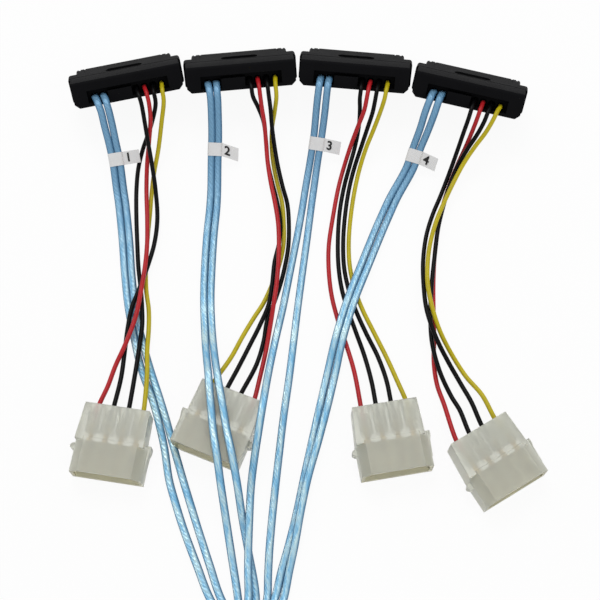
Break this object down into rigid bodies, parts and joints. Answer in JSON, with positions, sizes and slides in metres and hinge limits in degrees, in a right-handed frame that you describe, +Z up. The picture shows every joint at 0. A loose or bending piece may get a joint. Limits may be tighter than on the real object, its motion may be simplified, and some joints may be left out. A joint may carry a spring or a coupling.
{
  "type": "mini sas breakout cable",
  "caption": "breakout cable with a many-contact plug, flat blue signal cables, black drive receptacles and clear power plugs on short wires",
  "frame": {"origin": "on the table under the middle of the mini plug's moulded body, on its flat underside", "axes": "+Z up from the table, +Y from the mini plug along the cables to the drive receptacles, +X to the right as pictured"},
  "size_m": [0.1702, 0.3492, 0.0206],
  "materials": {
    "receptacle": "black moulded, satin",
    "contact": "gold plated",
    "label": "white printed film",
    "power_plug": "milky translucent nylon",
    "signal_cable": "blue film over foil",
    "red_wire": "red insulation",
    "black_wire": "black insulation",
    "yellow_wire": "yellow insulation",
    "tie": "black nylon",
    "shell": "stamped, plated",
    "board": "green solder mask"
  },
  "bodies": {
    "root": {"port_1_housing": "receptacle", "port_1_cover": "receptacle", "port_1_contacts": "contact", "port_1_label": "label", "power_plug_1": "power_plug", "signal_1_a": "signal_cable", "signal_1_b": "signal_cable", "power_1_red": "red_wire", "power_1_ground_a": "black_wire", "power_1_ground_b": "black_wire", "power_1_yellow": "yellow_wire", "port_2_housing": "receptacle", "port_2_cover": "receptacle", "port_2_contacts": "contact", "port_2_label": "label", "power_plug_2": "power_plug", "signal_2_a": "signal_cable", "signal_2_b": "signal_cable", "power_2_red": "red_wire", "power_2_ground_a": "black_wire", "power_2_ground_b": "black_wire", "power_2_yellow": "yellow_wire", "port_3_housing": "receptacle", "port_3_cover": "receptacle", "port_3_contacts": "contact", "port_3_label": "label", "power_plug_3": "power_plug", "signal_3_a": "signal_cable", "signal_3_b": "signal_cable", "power_3_red": "red_wire", "power_3_ground_a": "black_wire", "power_3_ground_b": "black_wire", "power_3_yellow": "yellow_wire", "port_4_housing": "receptacle", "port_4_cover": "receptacle", "port_4_contacts": "contact", "port_4_label": "label", "power_plug_4": "power_plug", "signal_4_a": "signal_cable", "signal_4_b": "signal_cable", "power_4_red": "red_wire", "power_4_ground_a": "black_wire", "power_4_ground_b": "black_wire", "power_4_yellow": "yellow_wire", "hank": "signal_cable", "hank_tie_1": "tie", "hank_tie_2": "tie", "mini_plug_body": "receptacle", "mini_plug_shell": "shell", "mini_plug_card": "board", "mini_plug_latch": "shell"}
  },
  "joints": []
}
